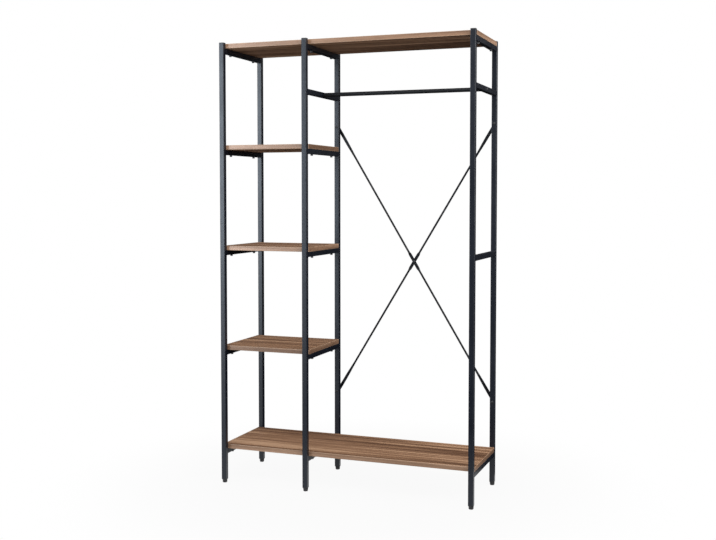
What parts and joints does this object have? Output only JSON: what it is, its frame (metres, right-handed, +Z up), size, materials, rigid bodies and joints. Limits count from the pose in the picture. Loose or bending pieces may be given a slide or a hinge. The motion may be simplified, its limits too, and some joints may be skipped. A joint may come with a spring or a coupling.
{
  "type": "open frame wardrobe",
  "caption": "Open frame wardrobe of square steel tube, with wood shelves in a narrow bay, a hanging rail and crossed rear brace in a wide bay, and levelling feet.",
  "frame": {"origin": "on the floor, under the centre of the overall box", "axes": "+X to the right seen from the front, +Y to the back, +Z up"},
  "size_m": [1.0414, 0.3716, 1.757],
  "materials": {
    "frame_paint": "fine satin powder coat, charcoal",
    "board_wood": "dark oak grain along the width, satin, with lighter front edge",
    "black_plastic": "fine matte moulding texture",
    "zinc_steel": "bright zinc plate",
    "black_bolts": "black zinc plate"
  },
  "bodies": {
    "frame": {"board_screws": "black_bolts", "bottom_board": "board_wood", "brace_centre_bolt": "black_bolts", "brace_end_bolts": "black_bolts", "brace_falling": "frame_paint", "brace_nuts": "black_bolts", "brace_rising": "frame_paint", "foot_plugs": "black_plastic", "hanging_rail": "frame_paint", "hanging_rail_bolts": "black_bolts", "hanging_rail_end_nuts": "zinc_steel", "left_bottom_rail": "frame_paint", "left_front_lower_post": "frame_paint", "left_front_upper_post": "frame_paint", "left_lower_rail": "frame_paint", "left_middle_rail": "frame_paint", "left_rear_lower_post": "frame_paint", "left_rear_upper_post": "frame_paint", "left_top_rail": "frame_paint", "left_upper_rail": "frame_paint", "lower_shelf": "board_wood", "middle_bottom_rail": "frame_paint", "middle_front_lower_post": "frame_paint", "middle_front_upper_post": "frame_paint", "middle_hanging_support": "frame_paint", "middle_lower_rail": "frame_paint", "middle_middle_rail": "frame_paint", "middle_rear_lower_post": "frame_paint", "middle_rear_upper_post": "frame_paint", "middle_shelf": "board_wood", "middle_top_rail": "frame_paint", "middle_upper_rail": "frame_paint", "post_caps": "black_plastic", "post_joint_sleeves": "zinc_steel", "right_bottom_rail": "frame_paint", "right_front_lower_post": "frame_paint", "right_front_upper_post": "frame_paint", "right_hanging_support": "frame_paint", "right_middle_rail": "frame_paint", "right_rear_lower_post": "frame_paint", "right_rear_upper_post": "frame_paint", "right_top_rail": "frame_paint", "top_board": "board_wood", "upper_shelf": "board_wood"},
    "left_front_foot_stud": {"left_front_foot_stud": "zinc_steel"},
    "left_front_foot_pad": {"left_front_foot_pad": "black_plastic"},
    "left_rear_foot_stud": {"left_rear_foot_stud": "zinc_steel"},
    "left_rear_foot_pad": {"left_rear_foot_pad": "black_plastic"},
    "middle_front_foot_stud": {"middle_front_foot_stud": "zinc_steel"},
    "middle_front_foot_pad": {"middle_front_foot_pad": "black_plastic"},
    "middle_rear_foot_stud": {"middle_rear_foot_stud": "zinc_steel"},
    "middle_rear_foot_pad": {"middle_rear_foot_pad": "black_plastic"},
    "right_front_foot_stud": {"right_front_foot_stud": "zinc_steel"},
    "right_front_foot_pad": {"right_front_foot_pad": "black_plastic"},
    "right_rear_foot_stud": {"right_rear_foot_stud": "zinc_steel"},
    "right_rear_foot_pad": {"right_rear_foot_pad": "black_plastic"}
  },
  "joints": [
    {"name": "left_front_foot_travel", "type": "slide", "parent": "frame", "child": "left_front_foot_stud", "axis": [0, 0, -1], "range_m": [0, 0.01]},
    {"name": "left_front_foot_turn", "type": "hinge", "parent": "left_front_foot_stud", "child": "left_front_foot_pad", "pos_m": [-0.51065, -0.1758, 0], "axis": [0, 0, -1], "range_deg": [0, 3600]},
    {"name": "left_rear_foot_travel", "type": "slide", "parent": "frame", "child": "left_rear_foot_stud", "axis": [0, 0, -1], "range_m": [0, 0.01]},
    {"name": "left_rear_foot_turn", "type": "hinge", "parent": "left_rear_foot_stud", "child": "left_rear_foot_pad", "pos_m": [-0.51065, 0.1642, 0], "axis": [0, 0, -1], "range_deg": [0, 3600]},
    {"name": "middle_front_foot_travel", "type": "slide", "parent": "frame", "child": "middle_front_foot_stud", "axis": [0, 0, -1], "range_m": [0, 0.01]},
    {"name": "middle_front_foot_turn", "type": "hinge", "parent": "middle_front_foot_stud", "child": "middle_front_foot_pad", "pos_m": [-0.15665, -0.1758, 0], "axis": [0, 0, -1], "range_deg": [0, 3600]},
    {"name": "middle_rear_foot_travel", "type": "slide", "parent": "frame", "child": "middle_rear_foot_stud", "axis": [0, 0, -1], "range_m": [0, 0.01]},
    {"name": "middle_rear_foot_turn", "type": "hinge", "parent": "middle_rear_foot_stud", "child": "middle_rear_foot_pad", "pos_m": [-0.15665, 0.1642, 0], "axis": [0, 0, -1], "range_deg": [0, 3600]},
    {"name": "right_front_foot_travel", "type": "slide", "parent": "frame", "child": "right_front_foot_stud", "axis": [0, 0, -1], "range_m": [0, 0.01]},
    {"name": "right_front_foot_turn", "type": "hinge", "parent": "right_front_foot_stud", "child": "right_front_foot_pad", "pos_m": [0.50735, -0.1758, 0], "axis": [0, 0, -1], "range_deg": [0, 3600]},
    {"name": "right_rear_foot_travel", "type": "slide", "parent": "frame", "child": "right_rear_foot_stud", "axis": [0, 0, -1], "range_m": [0, 0.01]},
    {"name": "right_rear_foot_turn", "type": "hinge", "parent": "right_rear_foot_stud", "child": "right_rear_foot_pad", "pos_m": [0.50735, 0.1642, 0], "axis": [0, 0, -1], "range_deg": [0, 3600]}
  ],
  "couplings": [
    {"joint": "left_front_foot_travel", "follows": "left_front_foot_turn", "m_per_rad": 0.00015915},
    {"joint": "left_rear_foot_travel", "follows": "left_rear_foot_turn", "m_per_rad": 0.00015915},
    {"joint": "middle_front_foot_travel", "follows": "middle_front_foot_turn", "m_per_rad": 0.00015915},
    {"joint": "middle_rear_foot_travel", "follows": "middle_rear_foot_turn", "m_per_rad": 0.00015915},
    {"joint": "right_front_foot_travel", "follows": "right_front_foot_turn", "m_per_rad": 0.00015915},
    {"joint": "right_rear_foot_travel", "follows": "right_rear_foot_turn", "m_per_rad": 0.00015915}
  ]
}
